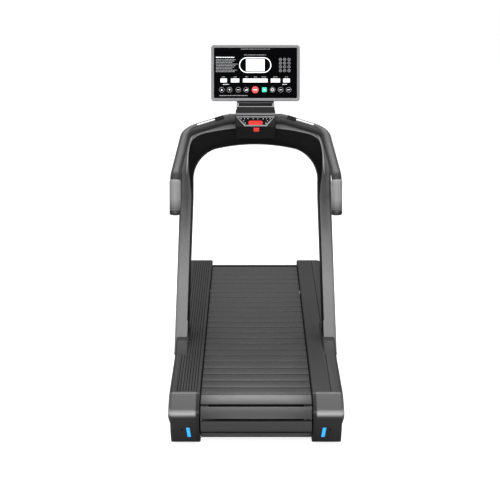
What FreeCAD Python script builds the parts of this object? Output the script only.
"""Self-powered slat treadmill: an endless belt of cross slats on two drums, between two covered side
rails, with leaning uprights, an arch, handrails and a console. Millimetres.

Frame: +Z up, +Y towards the console, +X to the user's right; the origin is under the middle of the
machine, on the floor."""
import FreeCAD, Part
import math
import os
from FreeCAD import Rotation, Vector

# ---- slat belt and drums
SLAT_PITCH = 60.0
SLATS_PER_TURN = 10
WRAP_SLATS = 5
RUN_SLATS = 24
SLAT_WIDTH = 57.5
SLAT_LENGTH = 520.0
SLAT_THICKNESS = 8.0
SLAT_CHAMFER = 1.2
WEB_THICKNESS = 3.0
WEB_DEPTH = 23.0
WEB_LENGTH = 430.0
DRUM_Y = RUN_SLATS * SLAT_PITCH / 2
PITCH_RADIUS = SLATS_PER_TURN * SLAT_PITCH / (2 * math.pi)
DECK_TOP = 238.0
CARRIER_OUTER = 99.0
CARRIER_INNER = 92.5
CARRIER_X = (231.0, 255.0)
CARRIER_END_GAP = 1.7
SLAT_OUTER = CARRIER_OUTER + SLAT_THICKNESS
DRUM_Z = DECK_TOP - SLAT_OUTER
RUN_GAP = 0.3

DRUM_RIM = CARRIER_INNER - RUN_GAP
DRUM_RIM_DEPTH = 8.0
DRUM_RIM_X = (228.0, 258.0)
DRUM_WEB_X = (239.0, 247.0)
DRUM_TUBE = 30.0
DRUM_TUBE_END = 262.0
SHAFT_RADIUS = 15.0
SHAFT_END = 300.0
RUNNING_FIT = 0.05

# ---- base frame
RAIL_X = (285.0, 335.0)
RAIL_Z = (66.0, 216.0)
RAIL_END = 755.0
RAIL_WALL = 4.0
SHAFT_HOLE = 18.0
BEARING_RADIUS = 34.0
BEARING_INNER_X = 264.0
CROSS_MEMBER_Y = (-480.0, 0.0, 480.0)
CROSS_MEMBER_SIZE = (60.0, 50.0)
CROSS_MEMBER_WALL = 3.0
GUIDE_RADIUS = 22.0
GUIDE_X = (232.0, 254.0)
GUIDE_Y = (-550.0, -330.0, -110.0, 110.0, 330.0, 550.0)
GUIDE_Z = DRUM_Z + CARRIER_INNER - RUN_GAP - GUIDE_RADIUS
GUIDE_AXLE = 6.0
GUIDE_HEAD = (226.0, 231.5, 9.5)
RETURN_GUIDE_TOP = DRUM_Z - SLAT_OUTER - 0.6
RETURN_GUIDE_X = (243.0, 285.0)
RETURN_GUIDE_THICKNESS = 8.0
RETURN_GUIDE_END = 600.0
FOOT_X = 310.0
FOOT_STUD = 6.0
FOOT_PAD = 22.0
REAR_FOOT_Y = -732.0
FRONT_FEET_Y = 560.0
FOOT_PAD_HEIGHT = 12.0
FOOT_BLOCK_BOTTOM = 26.0
FOOT_BLOCK_HALF = 16.0
WHEEL_RADIUS = 29.0
WHEEL_Y = 788.0
WHEEL_Z = 35.0
WHEEL_HALF = 11.0
WHEEL_PIN = 5.0
FORK_GAP = 13.0
FORK_PLATE = 5.0

# ---- resistance
DRIVE_PULLEY_RADIUS = 60.0
BRAKE_PULLEY_RADIUS = 20.0
PULLEY_X = (-366.0, -350.0)
FLYWHEEL_Y = 500.0
FLYWHEEL_RADIUS = 80.0
FLYWHEEL_X = (-388.0, -370.0)
FLYWHEEL_STUB = 8.0
BRAKE_BELT_THICKNESS = 3.0

# ---- covers
COVER_X = (263.0, 413.0)
COVER_TOP = DECK_TOP + 10.0
COVER_BOTTOM = 16.0
COVER_END = 831.0
COVER_WALL = 3.0
COVER_SPLIT_Y = -711.0
LIP_BOTTOM = 219.0
COVER_OUTER_ROUND = 22.0
COVER_INNER_ROUND = 7.0
SHOULDER_X = 346.0
SHOULDER_Y = (-268.0, -70.0)
SHOULDER_TOP = 273.0
SHOULDER_RAMP = 90.0
CAP_SLOPE_Y = -722.0
CAP_NOSE = (-818.0, 200.0)
CAP_NOSE_ROUND = 26.0
CAP_FOOT_Y = -806.0
CAP_BOTTOM = 30.0
CAP_TAPER = 12.0
CAP_TAPER_Y = (-724.0, -812.0)
CAP_TAPER_Z = (130.0, 172.0)
LENS_DEPTH = 6.0
CAP_SCREW_PLACE = (348.0, -811.5, 104.0)
CAP_SCREW_RADIUS = 5.0
RIB_COUNT = 8
RIB_FIRST_X = 282.0
RIB_STEP = 13.0
RIB_WIDTH = 4.0
RIB_DEPTH = 2.0
OUTER_GROOVE_X = 355.0
LIGHT_LEAN = 6.0
LIGHT_X = 315.0
LIGHT_HALF = 8.0
LIGHT_Z = (60.0, 114.0)

# ---- uprights and arch, drawn in a plane that leans towards the console
LEAN = math.radians(27.7)
YOKE_BASE = Vector(0, -255.0, 218.0)
UP = Vector(0, math.sin(LEAN), math.cos(LEAN))
OUT = Vector(0, -math.cos(LEAN), math.sin(LEAN))
YOKE_DEPTH = 92.0
LEG_JOINT = 800.0
LEG_FOOT_S = -120.0
LEG_END_Z = 180.0
LEG_OUTER = (428.0, 400.0)
LEG_INNER = (358.0, 331.0)
LEG_WALL = 4.0
FOOT_PLATE_X = (335.0, 347.0)
FOOT_PLATE_Y = (-330.0, -160.0)
FOOT_PLATE_Z = (90.0, 212.0)
FOOT_GUSSET_X = (347.0, 402.0)
FOOT_GUSSET_Y = (-285.0, -205.0)
FOOT_GUSSET_Z = (150.0, 190.0)
FOOT_BOLT_Y = (-314.0, -178.0)
FOOT_BOLT_Z = (110.0, 190.0)
FOOT_BOLT_HEAD = (8.0, 6.0)

# ---- handrail centre line on the right side, from the console outwards and back
RAIL_TUBE = 25.0
TUBE_WALL = 3.0
HANDRAIL_ROUTE = (
    Vector(60, 290, 1297),
    Vector(145, 290, 1297),
    Vector(366, 268, 1234),
    Vector(397, -150, 1126),
    Vector(400, -184, 953),
)
HANDRAIL_BENDS = (140.0, 75.0, 48.0)
GRIP_RADIUS = 28.0

# ---- console
POD_HALF = 105.0
KEYPAD_TILT = math.radians(38)
DISPLAY_TILT = math.radians(23.8)
DISPLAY_BOTTOM = Vector(0, 330.0, 1383.0)
DISPLAY_WIDTH = 469.0
DISPLAY_HEIGHT = 296.0
DISPLAY_DEPTH = 42.0
DISPLAY_BORDER = 15.0


def box(x, y, z):
    """Block between two values on each axis, given in either order."""
    low = Vector(min(x), min(y), min(z))
    return Part.makeBox(max(x) - low.x, max(y) - low.y, max(z) - low.z, low)


def rod_x(x, y, z, radius):
    """Round bar along X."""
    return Part.makeCylinder(radius, max(x) - min(x), Vector(min(x), y, z), Vector(1, 0, 0))


def rod_z(x, y, z, radius):
    """Round bar along Z."""
    return Part.makeCylinder(radius, max(z) - min(z), Vector(x, y, min(z)), Vector(0, 0, 1))


def prism(points, sweep):
    """Closed outline of 3-D points swept along a vector."""
    outline = Part.makePolygon(list(points) + [points[0]])
    return Part.Face(outline).extrude(sweep)


def prism_x(outline_yz, x):
    """Outline in the YZ plane, swept from one X to another."""
    points = [Vector(min(x), y, z) for y, z in outline_yz]
    return prism(points, Vector(max(x) - min(x), 0, 0))


def mirrored(shape):
    """The same piece on the other side of the machine."""
    return shape.mirror(Vector(0, 0, 0), Vector(1, 0, 0))


def both(shape):
    """A piece and its mirror image."""
    return [shape, mirrored(shape)]


def fused(*shapes):
    return shapes[0].fuse(list(shapes[1:])).removeSplitter()


def save(node, *solids):
    """Write one node; a group of like pieces is saved as separate solids."""
    shape = solids[0] if len(solids) == 1 else Part.makeCompound(list(solids))
    shape.exportStep("parts/" + node + ".step")


def edges_near(shape, test):
    """Edges whose middle passes a test on its position."""
    return [edge for edge in shape.Edges if test(edge.CenterOfMass)]


# ------------------------------------------------------------------ slat belt
def slat():
    """One slat, its outer face SLAT_OUTER above the drum axis, with a stiffening web below."""
    half = SLAT_WIDTH / 2
    top = SLAT_OUTER
    outline = (
        (-half, CARRIER_OUTER),
        (half, CARRIER_OUTER),
        (half, top - SLAT_CHAMFER),
        (half - SLAT_CHAMFER, top),
        (-half + SLAT_CHAMFER, top),
        (-half, top - SLAT_CHAMFER),
    )
    plate = prism_x(outline, (-SLAT_LENGTH / 2, SLAT_LENGTH / 2))
    web_y = (-WEB_THICKNESS / 2, WEB_THICKNESS / 2)
    web_z = (CARRIER_OUTER - WEB_DEPTH, CARRIER_OUTER)
    web = box((-WEB_LENGTH / 2, WEB_LENGTH / 2), web_y, web_z)
    return fused(plate, web)


def placed_slat(y, angle_deg):
    """A slat turned about the drum axis by an angle from upright, at a place along the machine."""
    piece = slat()
    piece.rotate(Vector(0, 0, 0), Vector(1, 0, 0), angle_deg)
    piece.translate(Vector(0, y, DRUM_Z))
    return piece


def run_slats(angle_deg):
    first = -(RUN_SLATS - 1) / 2 * SLAT_PITCH
    return [placed_slat(first + i * SLAT_PITCH, angle_deg) for i in range(RUN_SLATS)]


def wrap_slats(side):
    step = 360.0 / SLATS_PER_TURN
    return [placed_slat(side * DRUM_Y, -side * step * (i + 0.5)) for i in range(WRAP_SLATS)]


def run_carrier(side_z):
    """Pair of straight carrier belts, above the drum axis or below it."""
    z = (DRUM_Z + side_z * CARRIER_INNER, DRUM_Z + side_z * CARRIER_OUTER)
    end = DRUM_Y - CARRIER_END_GAP
    return both(box(CARRIER_X, (-end, end), z))


def wrap_carrier(side):
    """Pair of carrier belts where they go half round a drum."""
    ring = rod_x(CARRIER_X, side * DRUM_Y, DRUM_Z, CARRIER_OUTER)
    ring = ring.cut(rod_x(CARRIER_X, side * DRUM_Y, DRUM_Z, CARRIER_INNER))
    start = side * (DRUM_Y + CARRIER_END_GAP)
    reach = side * (DRUM_Y + 2 * CARRIER_OUTER)
    half = box(CARRIER_X, (start, reach), (0, 2 * DRUM_Z))
    return both(ring.common(half))


def drum(side, shaft_left):
    """Welded drum: through shaft, centre tube and a rimmed wheel at each end."""
    y = side * DRUM_Y
    shaft = rod_x((shaft_left, SHAFT_END), y, DRUM_Z, SHAFT_RADIUS)
    tube = rod_x((-DRUM_TUBE_END, DRUM_TUBE_END), y, DRUM_Z, DRUM_TUBE)
    rim = rod_x(DRUM_RIM_X, y, DRUM_Z, DRUM_RIM)
    rim = rim.cut(rod_x(DRUM_RIM_X, y, DRUM_Z, DRUM_RIM - DRUM_RIM_DEPTH))
    wheel = fused(rim, rod_x(DRUM_WEB_X, y, DRUM_Z, DRUM_RIM - DRUM_RIM_DEPTH / 2))
    return fused(shaft, tube, wheel, mirrored(wheel))


def guide_wheels(y):
    """Left and right guide wheels at one place along the belt."""
    wheel = rod_x(GUIDE_X, y, GUIDE_Z, GUIDE_RADIUS)
    return both(wheel.cut(rod_x(GUIDE_X, y, GUIDE_Z, GUIDE_AXLE + RUNNING_FIT)))


def make_belt():
    save("slats_top", *run_slats(0))
    save("slats_bottom", *run_slats(180))
    save("slats_front", *wrap_slats(1))
    save("slats_rear", *wrap_slats(-1))
    save("belts_top", *run_carrier(1))
    save("belts_bottom", *run_carrier(-1))
    save("belts_front", *wrap_carrier(1))
    save("belts_rear", *wrap_carrier(-1))
    save("front_drum", drum(1, PULLEY_X[0]))
    save("rear_drum", drum(-1, -SHAFT_END))
    for number, y in enumerate(GUIDE_Y, 1):
        save("guide_wheels_" + str(number), *guide_wheels(y))


# ------------------------------------------------------------------ base frame
def foot_block(y):
    """Block welded under the rail that takes a foot's stud."""
    x = (FOOT_X - FOOT_BLOCK_HALF, FOOT_X + FOOT_BLOCK_HALF)
    return box(x, (y - FOOT_BLOCK_HALF, y + FOOT_BLOCK_HALF), (FOOT_BLOCK_BOTTOM, RAIL_Z[0]))


def wheel_fork():
    """Two plates on the rail's front end, with the transport wheel's fixed pin."""
    y = (RAIL_END - 15, WHEEL_Y + 12)
    z = (WHEEL_Z - 12, WHEEL_Z + 55)
    plates = []
    for side in (-1, 1):
        inner = FOOT_X + side * FORK_GAP
        plates.append(box((inner, inner + side * FORK_PLATE), y, z))
    reach = FORK_GAP + FORK_PLATE
    pin = rod_x((FOOT_X - reach, FOOT_X + reach), WHEEL_Y, WHEEL_Z, WHEEL_PIN)
    return fused(plates[0], pin, plates[1])


def side_rail():
    """Right-hand rail: a rectangular tube with the shaft holes, foot blocks and wheel fork."""
    inner_x = (RAIL_X[0] + RAIL_WALL, RAIL_X[1] - RAIL_WALL)
    inner_z = (RAIL_Z[0] + RAIL_WALL, RAIL_Z[1] - RAIL_WALL)
    tube = box(RAIL_X, (-RAIL_END, RAIL_END), RAIL_Z)
    rail = fused(tube, foot_block(REAR_FOOT_Y), foot_block(FRONT_FEET_Y), wheel_fork())
    rail = rail.cut(box(inner_x, (-RAIL_END, RAIL_END), inner_z))
    for side in (-1, 1):
        rail = rail.cut(rod_x(RAIL_X, side * DRUM_Y, DRUM_Z, SHAFT_HOLE))
    stud_z = (0, RAIL_Z[0] + RAIL_WALL)
    rail = rail.cut(rod_z(FOOT_X, REAR_FOOT_Y, stud_z, FOOT_STUD + RUNNING_FIT))
    return rail


def flywheel_stub():
    return rod_x((FLYWHEEL_X[0] - 4, -RAIL_X[1]), FLYWHEEL_Y, DRUM_Z, FLYWHEEL_STUB)


def cross_member(y):
    half_y, half_z = CROSS_MEMBER_SIZE[0] / 2, CROSS_MEMBER_SIZE[1] / 2
    x = (-RAIL_X[0], RAIL_X[0])
    outer = box(x, (y - half_y, y + half_y), (DRUM_Z - half_z, DRUM_Z + half_z))
    half_y -= CROSS_MEMBER_WALL
    half_z -= CROSS_MEMBER_WALL
    return outer.cut(box(x, (y - half_y, y + half_y), (DRUM_Z - half_z, DRUM_Z + half_z)))


def guide_axle(y):
    """Shouldered bolt on the rail that carries one guide wheel, with a head to keep it on."""
    shank = rod_x((GUIDE_HEAD[0], RAIL_X[0]), y, GUIDE_Z, GUIDE_AXLE)
    return fused(shank, rod_x(GUIDE_HEAD[:2], y, GUIDE_Z, GUIDE_HEAD[2]))


def bearing(side):
    ring = rod_x((BEARING_INNER_X, RAIL_X[0]), side * DRUM_Y, DRUM_Z, BEARING_RADIUS)
    return ring.cut(rod_x(RAIL_X + (0,), side * DRUM_Y, DRUM_Z, SHAFT_RADIUS + RUNNING_FIT))


def return_guide():
    """Low-friction strip under the slat ends of the lower run, on legs from the rail."""
    z = (RETURN_GUIDE_TOP - RETURN_GUIDE_THICKNESS, RETURN_GUIDE_TOP)
    strip = box(RETURN_GUIDE_X, (-RETURN_GUIDE_END, RETURN_GUIDE_END), z)
    wall_x = (RETURN_GUIDE_X[1] - 10, RETURN_GUIDE_X[1])
    wall_z = (z[0], RAIL_Z[0] + 20)
    return fused(strip, box(wall_x, (-RETURN_GUIDE_END, RETURN_GUIDE_END), wall_z))


def levelling_foot():
    pad = rod_z(FOOT_X, REAR_FOOT_Y, (0, FOOT_PAD_HEIGHT), FOOT_PAD)
    return fused(pad, rod_z(FOOT_X, REAR_FOOT_Y, (0, RAIL_Z[0] - 6), FOOT_STUD))


def front_foot():
    pad = rod_z(FOOT_X, FRONT_FEET_Y, (0, FOOT_PAD_HEIGHT), FOOT_PAD)
    return fused(pad, rod_z(FOOT_X, FRONT_FEET_Y, (0, FOOT_BLOCK_BOTTOM), FOOT_PAD * 0.6))


def transport_wheel():
    x = (FOOT_X - WHEEL_HALF, FOOT_X + WHEEL_HALF)
    wheel = rod_x(x, WHEEL_Y, WHEEL_Z, WHEEL_RADIUS)
    return wheel.cut(rod_x(x, WHEEL_Y, WHEEL_Z, WHEEL_PIN + RUNNING_FIT))


def make_base():
    rail = side_rail()
    save("side_rail_right", rail)
    save("side_rail_left", fused(mirrored(rail), flywheel_stub()))
    save("cross_members", *[cross_member(y) for y in CROSS_MEMBER_Y])
    axles = []
    for y in GUIDE_Y:
        axles += both(guide_axle(y))
    save("guide_wheel_axles", *axles)
    save("shaft_bearings", *(both(bearing(1)) + both(bearing(-1))))
    save("return_guides", *both(return_guide()))
    save("levelling_foot_right", levelling_foot())
    save("levelling_foot_left", mirrored(levelling_foot()))
    save("front_feet", *both(front_foot()))
    save("transport_wheel_right", transport_wheel())
    save("transport_wheel_left", mirrored(transport_wheel()))


# ------------------------------------------------------------------ resistance
def belt_outline(extra):
    """Two rounds and the flat sides between them, all grown by the same amount."""
    big = DRIVE_PULLEY_RADIUS + extra
    small = BRAKE_PULLEY_RADIUS + extra
    x = (PULLEY_X[0] + 2, PULLEY_X[1] - 2)
    span = DRUM_Y - FLYWHEEL_Y
    slope = math.acos((big - small) / span)
    corners = []
    for centre, radius, sign in ((DRUM_Y, big, 1), (FLYWHEEL_Y, small, 1),
                                 (FLYWHEEL_Y, small, -1), (DRUM_Y, big, -1)):
        y = centre - radius * math.cos(slope)
        corners.append((y, DRUM_Z + sign * radius * math.sin(slope)))
    sides = prism_x(corners, x)
    return fused(rod_x(x, DRUM_Y, DRUM_Z, big), rod_x(x, FLYWHEEL_Y, DRUM_Z, small), sides)


def flywheel():
    disc = rod_x(FLYWHEEL_X, FLYWHEEL_Y, DRUM_Z, FLYWHEEL_RADIUS)
    pulley = rod_x((FLYWHEEL_X[1], PULLEY_X[1]), FLYWHEEL_Y, DRUM_Z, BRAKE_PULLEY_RADIUS)
    wheel = fused(disc, pulley)
    span = (FLYWHEEL_X[0], PULLEY_X[1])
    return wheel.cut(rod_x(span, FLYWHEEL_Y, DRUM_Z, FLYWHEEL_STUB + RUNNING_FIT))


def brake_magnet():
    """Magnet holder whose two cheeks stand each side of the flywheel's rim."""
    near = FLYWHEEL_Y - FLYWHEEL_RADIUS
    holder = box((FLYWHEEL_X[0] - 8, FLYWHEEL_X[1] + 8), (near - 25, near + 22), (100, 162))
    slot_x = (FLYWHEEL_X[0] - 1.5, FLYWHEEL_X[1] + 1.5)
    holder = holder.cut(box(slot_x, (near - 6, near + 30), (90, 172)))
    arm = box((FLYWHEEL_X[1] + 8, -RAIL_X[1]), (near - 25, near - 10), (110, 152))
    return fused(holder, arm)


def make_resistance():
    pulley = rod_x(PULLEY_X, DRUM_Y, DRUM_Z, DRIVE_PULLEY_RADIUS)
    save("drive_pulley", pulley.cut(rod_x(PULLEY_X, DRUM_Y, DRUM_Z, SHAFT_RADIUS)))
    save("flywheel", flywheel())
    loop = belt_outline(RUN_GAP + BRAKE_BELT_THICKNESS)
    save("brake_belt", loop.cut(belt_outline(RUN_GAP)))
    save("brake_magnet", brake_magnet())
    sensor = box((-RAIL_X[0], -BEARING_INNER_X), (DRUM_Y - 75, DRUM_Y - 50), (72, 92))
    save("speed_sensor", sensor)


# ------------------------------------------------------------------ covers
def rounded_outline(corners):
    """Closed YZ outline from (y, z, radius) corners, each rounded by a tangent arc unless 0."""
    edges = []
    ends = []
    count = len(corners)
    for i, (y, z, radius) in enumerate(corners):
        corner = Vector(0, y, z)
        before, after = corners[i - 1], corners[(i + 1) % count]
        back = (Vector(0, before[0], before[1]) - corner).normalize()
        ahead = (Vector(0, after[0], after[1]) - corner).normalize()
        half = back.getAngle(ahead) / 2
        cut = radius / math.tan(half)
        enter, leave = corner + back * cut, corner + ahead * cut
        if radius:
            middle = corner + (back + ahead).normalize() * (radius / math.sin(half) - radius)
            edges.append(Part.Arc(enter, middle, leave).toShape())
        ends.append((enter, leave))
    for i in range(count):
        edges.append(Part.LineSegment(ends[i - 1][1], ends[i][0]).toShape())
    return Part.Wire(Part.__sortEdges__(edges))


def cover_block(corners, inset, open_y):
    """Cover's outside with a large outer and a small inner corner, or its plain hollow."""
    low, high = COVER_X[0] + inset, COVER_X[1] - inset
    face = Part.Face(rounded_outline(corners))
    block = face.extrude(Vector(high - low, 0, 0))
    block.translate(Vector(low, 0, 0))
    floor = min(corner[1] for corner in corners) + 1

    def shows(point):
        return abs(point.y - open_y) > 1.5 and point.z > floor

    block = block.makeFillet(COVER_OUTER_ROUND - inset,
                             edges_near(block, lambda p: p.x > high - 0.1 and shows(p)))
    if inset == 0:
        block = block.makeFillet(COVER_INNER_ROUND,
                                 edges_near(block, lambda p: p.x < low + 0.1 and shows(p)))
    return block


def leg_clearance():
    """Space that the upright's foot takes out of the cover."""
    return leg_prism(2.0).cut(below(LEG_END_Z - 2))


def leg_shoulder():
    """Raised shoulder round the foot of the upright, ramped down to the cover's top at both ends."""
    low = COVER_TOP - COVER_OUTER_ROUND
    drop = (SHOULDER_TOP - low) / (SHOULDER_TOP - COVER_TOP)
    rear, front = SHOULDER_Y
    outline = ((rear - SHOULDER_RAMP * drop, low), (rear, SHOULDER_TOP), (front, SHOULDER_TOP),
               (front + SHOULDER_RAMP * 0.6 * drop, low))
    width = COVER_X[1] - 0.5 - SHOULDER_X
    block = prism([Vector(SHOULDER_X, y, z) for y, z in outline], Vector(width, 0, 0))
    return block.makeFillet(12.0, edges_near(block, lambda p: p.z > low + 1))


def side_cover(grooves):
    """Right-hand cover along the rail, open below and on its inner side under a lip."""
    split, front, top, w = COVER_SPLIT_Y, COVER_END, COVER_TOP, COVER_WALL
    outline = ((split, COVER_BOTTOM, 0), (split, top, 0), (front, top, 46), (front, COVER_BOTTOM, 0))
    hollow = ((split - 1, 0, 0), (split - 1, top - w, 0), (front - w, top - w, 43), (front - w, 0, 0))
    shell = cover_block(outline, 0, split).cut(cover_block(hollow, w, split - 1))
    shell = shell.cut(box((0, COVER_X[0] + w + 1), (-900, front - w), (0, LIP_BOTTOM)))
    for x in grooves:
        cut_x = (x - RIB_WIDTH / 2, x + RIB_WIDTH / 2)
        shell = shell.cut(box(cut_x, (split - 1, front - 60), (top - RIB_DEPTH, top + 5)))
    shoulder = leg_shoulder().cut(cover_block(hollow, w, split - 1))
    shell = shell.fuse(shoulder).cut(leg_clearance())
    return max(shell.Solids, key=lambda solid: solid.Volume)


def cap_corners(inset):
    """Side outline of the rear cap: level, a slope, a rounded nose and an upright rear face."""
    top = COVER_TOP - inset
    low = 0 if inset else CAP_BOTTOM
    start = COVER_SPLIT_Y + 1 if inset else COVER_SPLIT_Y - 0.4
    nose_y, nose_z = CAP_NOSE
    return ((start, low, 0), (start, top, 0), (CAP_SLOPE_Y, top, 20),
            (nose_y + inset, nose_z - inset * 0.6, CAP_NOSE_ROUND - inset), (CAP_FOOT_Y + inset, low, 0))


def cap_undercut(inset):
    """Wedge off the cap's outer side: nothing at the cover, deepest low down at the rear face."""
    x = COVER_X[1] - inset
    (start, end), (low, high) = CAP_TAPER_Y, CAP_TAPER_Z
    outline = ((x + CAP_TAPER + 20, high), (x + CAP_TAPER, high), (x, low), (x, 0), (x + CAP_TAPER + 20, 0))
    return prism([Vector(px, start, pz) for px, pz in outline], Vector(-CAP_TAPER, end - start, 0) * 1.3)


def rear_cap():
    """Sloping end cap behind the cover, with a rounded shoulder and a plain rear face."""
    start = COVER_SPLIT_Y
    shell = cover_block(cap_corners(0), 0, start - 0.4).cut(cap_undercut(0))
    hollow = cover_block(cap_corners(COVER_WALL), COVER_WALL, start + 1)
    shell = shell.cut(hollow.cut(cap_undercut(COVER_WALL)))
    shell = shell.cut(box((0, COVER_X[0] + COVER_WALL + 1), (-765, -600), (0, LIP_BOTTOM)))
    return shell.cut(light_block()).cut(cap_screw())


def cap_screw():
    """Countersunk head that holds the cap, flush with its rear face."""
    return Part.makeCylinder(CAP_SCREW_RADIUS, 6.0, Vector(*CAP_SCREW_PLACE), Vector(0, 1, 0))


def light_block():
    """Slanted bar through the cap's rear face."""
    y = (CAP_NOSE[0] - 12, CAP_FOOT_Y + 12)
    points = []
    for x, z in ((-1, LIGHT_Z[0]), (1, LIGHT_Z[0]), (1, LIGHT_Z[1]), (-1, LIGHT_Z[1])):
        lean = LIGHT_LEAN if z == LIGHT_Z[1] else 0.0
        points.append(Vector(LIGHT_X + x * LIGHT_HALF + lean, y[0], z))
    return prism(points, Vector(0, y[1] - y[0], 0))


def rear_light():
    """Lens that fills its hole, flush with the cap's rear face."""
    room = cover_block(cap_corners(0), 0, COVER_SPLIT_Y - 0.4)
    inner = cover_block(cap_corners(LENS_DEPTH), LENS_DEPTH, COVER_SPLIT_Y + 1)
    return light_block().common(room).cut(inner)


def make_covers():
    ribs = [RIB_FIRST_X + i * RIB_STEP for i in range(RIB_COUNT)]
    save("side_cover_left", mirrored(side_cover(ribs)))
    save("side_cover_right", side_cover([OUTER_GROOVE_X]))
    save("rear_cap_right", rear_cap())
    save("rear_cap_left", mirrored(rear_cap()))
    save("rear_lights", *both(rear_light()))
    save("cap_screws", *both(cap_screw()))


# ------------------------------------------------------------------ uprights and arch
def on_yoke(x, s, n=0.0):
    """Point in the leaning plane: across, up along the plane, and out towards the user."""
    return YOKE_BASE + Vector(x, 0, 0) + UP * s + OUT * n


def leg_prism(grow, extra_top=0.0):
    """Right-hand leg, tapering in towards its joint with the arch; grow is negative for its hollow."""
    top = LEG_JOINT + extra_top
    points = [
        on_yoke(LEG_INNER[0] - grow, LEG_FOOT_S, grow),
        on_yoke(LEG_OUTER[0] + grow, LEG_FOOT_S, grow),
        on_yoke(LEG_OUTER[1] + grow, top, grow),
        on_yoke(LEG_INNER[1] - grow, top, grow),
    ]
    return prism(points, OUT * -(YOKE_DEPTH + 2 * grow))


def below(z):
    """Everything on the right side under a height."""
    return box((0, 600), (-900, 900), (-400, z))


def upright():
    """Hollow leg, closed at its foot, with a gusset and a bolted plate against the rail."""
    leg = leg_prism(0).cut(below(LEG_END_Z))
    leg = leg.makeFillet(9.0, [edge for edge in leg.Edges if edge.Length > 500])
    hollow = leg_prism(-LEG_WALL, 1.0).cut(below(LEG_END_Z + LEG_WALL))
    plate = box(FOOT_PLATE_X, FOOT_PLATE_Y, FOOT_PLATE_Z)
    gusset = box(FOOT_GUSSET_X, FOOT_GUSSET_Y, FOOT_GUSSET_Z)
    return fused(leg, plate, gusset).cut(hollow)


def arc(start, middle, end):
    return Part.Arc(on_yoke(*start), on_yoke(*middle), on_yoke(*end)).toShape()


def line(start, end):
    return Part.LineSegment(on_yoke(*start), on_yoke(*end)).toShape()


def yoke_face():
    """Arch over the legs: a flat band with rounded inner and outer corners and a low crown."""
    leg_in, leg_out = LEG_INNER[1], LEG_OUTER[1]
    joint = LEG_JOINT + 0.5
    outer_turn, outer_mid, outer_end = (leg_out, 1030.0), (382.0, 1116.0), (305.0, 1168.0)
    inner_turn, inner_mid, inner_end = (leg_in, 885.0), (303.0, 996.0), (218.0, 1064.0)
    flip = lambda point: (-point[0], point[1])
    edges = [
        line((leg_in, joint), (leg_out, joint)),
        line((leg_out, joint), outer_turn),
        arc(outer_turn, outer_mid, outer_end),
        arc(outer_end, (0.0, 1204.0), flip(outer_end)),
        arc(flip(outer_end), flip(outer_mid), flip(outer_turn)),
        line(flip(outer_turn), (-leg_out, joint)),
        line((-leg_out, joint), (-leg_in, joint)),
        line((-leg_in, joint), flip(inner_turn)),
        arc(flip(inner_turn), flip(inner_mid), flip(inner_end)),
        arc(flip(inner_end), (0.0, 1090.0), inner_end),
        arc(inner_end, inner_mid, inner_turn),
        line(inner_turn, (leg_in, joint)),
    ]
    return Part.Face(Part.Wire(edges))


def yoke_band():
    return yoke_face().extrude(OUT * -YOKE_DEPTH)


def yoke_arch():
    """Hollow arch, open where it meets the legs; the handrails nest in its upper edge."""
    inner = yoke_face().makeOffset2D(-LEG_WALL)
    inner.translate(OUT * -LEG_WALL)
    hollow = inner.extrude(OUT * -(YOKE_DEPTH - 2 * LEG_WALL))
    mouth = leg_prism(-LEG_WALL, 30.0)
    arch = yoke_band().cut(hollow).cut(mouth).cut(mirrored(mouth)).cut(tubes())
    return max(arch.Solids, key=lambda solid: solid.Volume)


def upright_bolt(y, z):
    """Socket-head bolt through the upright's foot plate into the rail."""
    radius, height = FOOT_BOLT_HEAD
    return rod_x((FOOT_PLATE_X[1], FOOT_PLATE_X[1] + height), y, z, radius)


def make_uprights():
    save("upright_right", upright())
    save("upright_left", mirrored(upright()))
    save("yoke_arch", yoke_arch())
    bolts = []
    for y in FOOT_BOLT_Y:
        for z in FOOT_BOLT_Z:
            bolts += both(upright_bolt(y, z))
    save("upright_bolts", *bolts)


# ------------------------------------------------------------------ handrails
def rounded_route(points, radii):
    """Straight runs joined by tangent arcs; one radius for each inner point."""
    edges = []
    start = points[0]
    for i, radius in enumerate(radii):
        before, corner, after = points[i], points[i + 1], points[i + 2]
        back = (before - corner).normalize()
        ahead = (after - corner).normalize()
        half = back.getAngle(ahead) / 2
        leave = corner + back * (radius / math.tan(half))
        enter = corner + ahead * (radius / math.tan(half))
        bisector = (back + ahead).normalize()
        middle = corner + bisector * (radius / math.sin(half) - radius)
        edges.append(Part.LineSegment(start, leave).toShape())
        edges.append(Part.Arc(leave, middle, enter).toShape())
        start = enter
    edges.append(Part.LineSegment(start, points[-1]).toShape())
    return Part.Wire(edges)


def swept(path, radius):
    """Round bar along a path."""
    first = path.OrderedVertexes[0].Point
    edge = path.OrderedEdges[0]
    direction = edge.tangentAt(edge.FirstParameter)
    if direction.dot(edge.CenterOfMass - first) < 0:
        direction = direction * -1
    ring = Part.Wire(Part.makeCircle(radius, first, direction))
    return path.makePipeShell([ring], True, False)


def rail_point(index, share):
    """Point on the straight run after one route point, by share of its length."""
    a, b = HANDRAIL_ROUTE[index], HANDRAIL_ROUTE[index + 1]
    return a + (b - a) * share


def rail_direction(index):
    return (HANDRAIL_ROUTE[index + 1] - HANDRAIL_ROUTE[index]).normalize()


def sleeve(index, share, length, inner, outer):
    """Ring round a straight run of the handrail."""
    start = rail_point(index, share)
    way = rail_direction(index)
    ring = Part.makeCylinder(outer, length, start, way)
    return ring.cut(Part.makeCylinder(inner, length, start, way))


GRIP_RUN = 3
GRIP_START = 0.2
GRIP_LENGTH = 128.0
PAD_RUN = 1
PAD_START = 0.31
PAD_LENGTH = 90.0
PAD_THICKNESS = 2.0
SWITCH_START = 0.08
SWITCH_LENGTH = 46.0


def grip():
    return sleeve(GRIP_RUN, GRIP_START, GRIP_LENGTH, RAIL_TUBE, GRIP_RADIUS)


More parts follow.
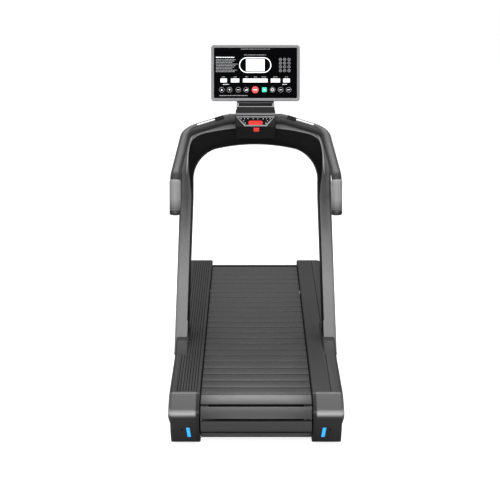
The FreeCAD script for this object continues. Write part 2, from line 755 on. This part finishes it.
def grip_cap():
    """Plug and rounded cap on the handrail's lower end."""
    end = HANDRAIL_ROUTE[-1]
    way = rail_direction(GRIP_RUN)
    cap = Part.makeCylinder(GRIP_RADIUS, 14.0, end, way)
    rim = [edge for edge in cap.Edges if (edge.CenterOfMass - end).Length > 10]
    return cap.makeFillet(6.0, rim)


def pad_frame():
    """Axes on the sloping run: along it, and outwards towards the user's hand."""
    way = rail_direction(PAD_RUN)
    face = Vector(0, -math.cos(math.radians(48)), math.sin(math.radians(48)))
    face = (face - way * face.dot(way)).normalize()
    return way, face, way.cross(face)


def pulse_pad():
    """Metal sensing plate on the upper side of the handrail: a part of a thin sleeve."""
    ring = sleeve(PAD_RUN, PAD_START, PAD_LENGTH, RAIL_TUBE, RAIL_TUBE + PAD_THICKNESS)
    way, face, across = pad_frame()
    corner = rail_point(PAD_RUN, PAD_START) - across * 20 + face * 8
    points = [corner, corner + across * 40, corner + across * 40 + face * 40, corner + face * 40]
    return ring.common(prism(points, way * PAD_LENGTH)).cut(tubes())


def switch_block(length, half_width, low, high, skip=0.0):
    """Block on the handrail's user side, measured out from its centre line."""
    way, face, across = pad_frame()
    start = rail_point(PAD_RUN, SWITCH_START) + way * ((SWITCH_LENGTH - length) / 2 + skip)
    corner = start - across * half_width + face * low
    side = across * (2 * half_width)
    points = [corner, corner + side, corner + side + face * (high - low), corner + face * (high - low)]
    return prism(points, way * length)


def handrail_bar(radius):
    return swept(rounded_route(HANDRAIL_ROUTE, HANDRAIL_BENDS), radius)


def tubes():
    """Both handrails as solid bars, to shape what touches them."""
    bar = handrail_bar(RAIL_TUBE)
    return bar.fuse(mirrored(bar))


def handrail():
    """Bent steel tube with a flat seat for the thumb switch."""
    seat = switch_block(SWITCH_LENGTH + 4, 12.0, 0.0, RAIL_TUBE + 1.5)
    bar = fused(handrail_bar(RAIL_TUBE), seat)
    return bar.cut(handrail_bar(RAIL_TUBE - TUBE_WALL))


def thumb_switch():
    """Rocker on the handrail, just above its seat."""
    rocker = switch_block(SWITCH_LENGTH, 11.0, RAIL_TUBE + 3.0, RAIL_TUBE + 8.0)
    return rocker.makeFillet(1.6, rocker.Edges)


def make_handrails():
    save("handrail_right", handrail())
    save("handrail_left", mirrored(handrail()))
    save("grips", *both(grip()))
    save("grip_caps", *both(grip_cap()))
    save("pulse_pads", *both(pulse_pad()))
    save("thumb_switch_right", thumb_switch())
    save("thumb_switch_left", mirrored(thumb_switch()))


# ------------------------------------------------------------------ console
POD_BACK = 372.0
POD_TOP = 1326.0
KEYPAD_TOP = (250.0, 1321.0)
KEYPAD_HEIGHT = 56.0
KEYPAD_HALF = (103.0, 58.0)
TRIM = 7.0
POD_UNDERSIDE = 1196.0
TRAY_X = 99.0
TRAY_Y = (254.0, 345.0)
TRAY_Z = (1326.4, 1370.0)
SLOT_X = 87.0
SLOT_Y = (276.0, 330.0)
SLOT_DEPTH = 26.0
KEYPAD_UP = Vector(0, math.sin(KEYPAD_TILT), math.cos(KEYPAD_TILT))
KEYPAD_OUT = Vector(0, -math.cos(KEYPAD_TILT), math.sin(KEYPAD_TILT))
KEYPAD_ORIGIN = Vector(0, KEYPAD_TOP[0], KEYPAD_TOP[1])


def on_keypad(x, down, out=0.0):
    return KEYPAD_ORIGIN + Vector(x, 0, 0) - KEYPAD_UP * down + KEYPAD_OUT * out


def keypad_plate(inset, back, front):
    """Trapezoid plate on the sloping face of the console."""
    top, low = KEYPAD_HALF[0] - inset * 1.4, KEYPAD_HALF[1] - inset * 0.8
    down = KEYPAD_HEIGHT - inset
    points = [on_keypad(-top, inset, back), on_keypad(top, inset, back),
              on_keypad(low, down, back), on_keypad(-low, down, back)]
    return prism(points, KEYPAD_OUT * (front - back))


def console_pod():
    """Console housing on the arch: a sloping face, a receding underside and a flat back."""
    low_front = KEYPAD_ORIGIN - KEYPAD_UP * (KEYPAD_HEIGHT + 3)
    high_front = KEYPAD_ORIGIN + KEYPAD_UP * ((POD_TOP - KEYPAD_ORIGIN.z) / KEYPAD_UP.z)
    outline = ((high_front.y, POD_TOP), (POD_BACK, POD_TOP), (POD_BACK, POD_UNDERSIDE + 40),
               (POD_BACK - 40, POD_UNDERSIDE), (low_front.y + 14, POD_UNDERSIDE + 12),
               (low_front.y, low_front.z))
    pod = prism_x(outline, (-POD_HALF, POD_HALF))
    sides = edges_near(pod, lambda p: abs(p.x) > POD_HALF - 1 and p.z < POD_TOP - 1)
    pod = pod.makeChamfer(6.0, sides)
    pod = pod.cut(yoke_band())
    pod = pod.cut(stop_well())
    pod = pod.cut(key_socket())
    pod = pod.cut(tubes())
    return max(pod.Solids, key=lambda solid: solid.Volume)


STOP_DOWN = 37.0
STOP_HALF = 38.0
STOP_ROUND = 11.0


def stop_shape(grow, back, front):
    """Long rounded button, as a slab with half-round ends."""
    centre = on_keypad(0, STOP_DOWN, back)
    depth = front - back
    reach = STOP_HALF - STOP_ROUND
    radius = STOP_ROUND + grow
    ends = []
    for side in (-1, 1):
        ends.append(Part.makeCylinder(radius, depth, centre + Vector(side * reach, 0, 0), KEYPAD_OUT))
    corner = centre + Vector(-reach, 0, 0) - KEYPAD_UP * radius
    points = [corner, corner + Vector(2 * reach, 0, 0)]
    points += [points[1] + KEYPAD_UP * (2 * radius), corner + KEYPAD_UP * (2 * radius)]
    return fused(ends[0], prism(points, KEYPAD_OUT * depth), ends[1])


def stop_well():
    return stop_shape(0.6, -8.0, 4.0)


def stop_button():
    return stop_shape(0.0, -4.0, 5.5)


KEY_SIZE = (15.0, 10.0)
KEY_X = 4.0
KEY_Z = 1260.0
KEY_FACE_Y = 208.0


def key_block(grow, y):
    x = (KEY_X - KEY_SIZE[0] - grow, KEY_X + KEY_SIZE[0] + grow)
    return box(x, y, (KEY_Z - KEY_SIZE[1] - grow, KEY_Z + KEY_SIZE[1] + grow))


def key_socket():
    return key_block(0.6, (KEY_FACE_Y - 60, 244.0))


def safety_key():
    return key_block(0.0, (KEY_FACE_Y, 242.0))


def accessory_tray():
    """Ledge with a slot for a phone or a book."""
    tray = box((-TRAY_X, TRAY_X), TRAY_Y, TRAY_Z)
    tray = tray.makeFillet(8.0, edges_near(tray, lambda p: abs(p.x) > TRAY_X - 1 and p.z > TRAY_Z[0] + 1
                                           and p.z < TRAY_Z[1] - 1))
    slot_z = (TRAY_Z[1] - SLOT_DEPTH, TRAY_Z[1] + 1)
    return tray.cut(box((-SLOT_X, SLOT_X), SLOT_Y, slot_z)).cut(tubes())


def display_axes():
    up = Vector(0, math.sin(DISPLAY_TILT), math.cos(DISPLAY_TILT))
    out = Vector(0, -math.cos(DISPLAY_TILT), math.sin(DISPLAY_TILT))
    return up, out


def display_slab(inset, radius, back, front):
    """Rounded slab parallel to the screen; depth is measured out from the front face."""
    up, out = display_axes()
    half = DISPLAY_WIDTH / 2 - inset
    low, high = inset, DISPLAY_HEIGHT - inset
    base = DISPLAY_BOTTOM + out * back
    corners = [base + Vector(x, 0, 0) + up * s
               for x, s in ((-half, low), (half, low), (half, high), (-half, high))]
    slab = prism(corners, out * (front - back))
    long_way = edges_near(slab, lambda p: True)
    posts = [edge for edge in long_way if abs(edge.Length - (front - back)) < 0.01]
    return slab.makeFillet(radius, posts)


def display_neck():
    """Flat post from behind the tray to the display's back."""
    y0 = TRAY_Y[1] + 0.4
    outline = ((y0, TRAY_Z[0]), (y0 + 28, TRAY_Z[0]), (y0 + 70, 1470.0), (y0 + 45, 1470.0), (y0, 1380.0))
    return prism_x(outline, (-TRAY_X + 1, TRAY_X - 1))


def make_console():
    save("console_pod", console_pod())
    save("accessory_tray", accessory_tray())
    trim = keypad_plate(0.0, 0.0, 3.0).cut(keypad_plate(TRIM, -1.0, 4.0))
    save("keypad_trim", trim)
    film = keypad_plate(TRIM, 0.0, 1.6).cut(stop_shape(0.6, -2.0, 4.0))
    save("keypad_film", film)
    save("stop_button", stop_button())
    save("safety_key", safety_key())
    frame = display_slab(0.0, 16.0, -14.0, 0.0)
    frame = frame.cut(display_slab(DISPLAY_BORDER, 6.0, -20.0, 4.0))
    save("display_frame", frame)
    save("display_glass", display_slab(DISPLAY_BORDER, 6.0, -5.0, -1.0))
    save("circuit_board", display_slab(40.0, 3.0, -8.0, -5.0))
    back = display_slab(5.0, 14.0, -DISPLAY_DEPTH, -14.0)
    hollow = display_slab(12.0, 8.0, -DISPLAY_DEPTH + 4.0, -10.0)
    save("display_back", back.cut(hollow))
    neck = display_neck()
    save("display_neck", neck.cut(display_slab(0.0, 14.0, -DISPLAY_DEPTH, 8.0)))


make_belt()
make_base()
make_resistance()
make_covers()
make_uprights()
make_handrails()
make_console()
